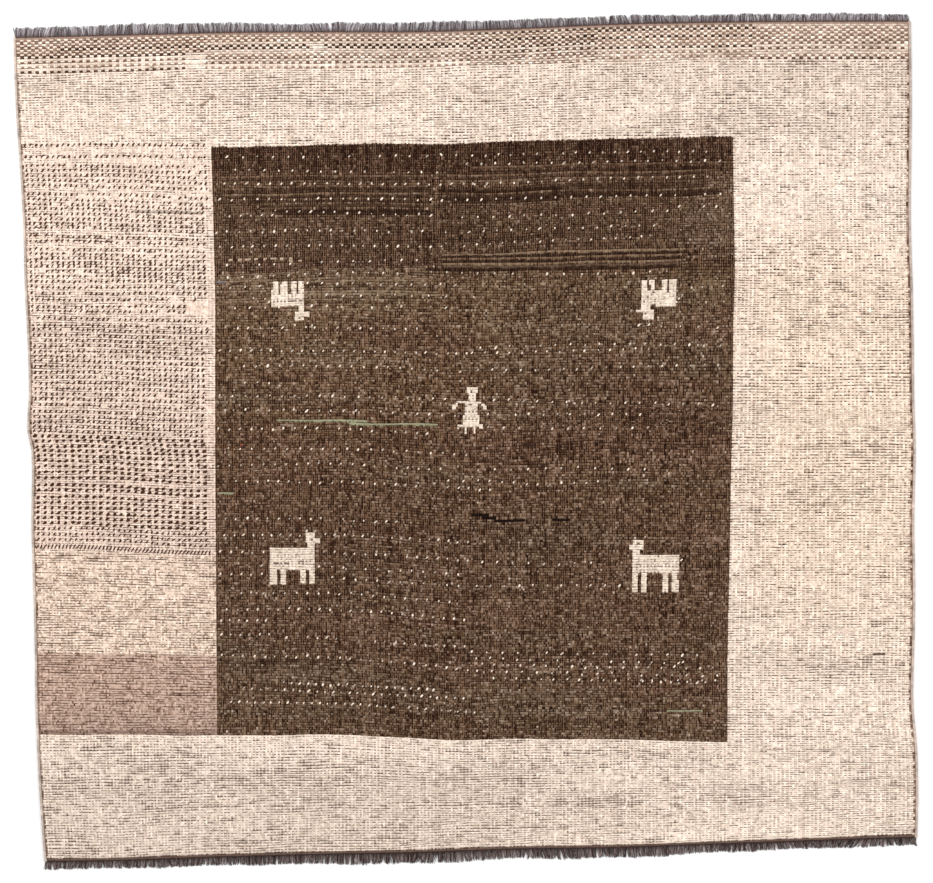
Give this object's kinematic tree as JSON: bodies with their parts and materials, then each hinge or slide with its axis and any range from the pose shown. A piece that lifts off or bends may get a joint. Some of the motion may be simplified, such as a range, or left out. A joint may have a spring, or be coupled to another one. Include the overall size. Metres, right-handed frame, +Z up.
{
  "type": "gabbeh rug",
  "caption": "Flat hand-knotted wool rug, slightly out of square, with overcast side cords, narrow flat-woven ends and short cut warps.",
  "frame": {"origin": "on the floor, under the middle of the rug's length and width", "axes": "+X across the rows of knots, +Y along the warps towards the end with the dark border, +Z up out of the pile"},
  "size_m": [1.813, 1.7144, 0.008],
  "materials": {
    "pile_wool": "short cut wool pile, cream with brown, mauve and dark melange areas",
    "cord_wool": "wool yarn wound round the outer warps, greyish beige",
    "warp_wool": "grey-brown spun wool warps, flat weave and loose cut ends"
  },
  "bodies": {
    "root": {"knotted_pile": "pile_wool", "side_cord_left": "cord_wool", "side_cord_right": "cord_wool", "woven_end_top": "warp_wool", "woven_end_bottom": "warp_wool"}
  },
  "joints": []
}
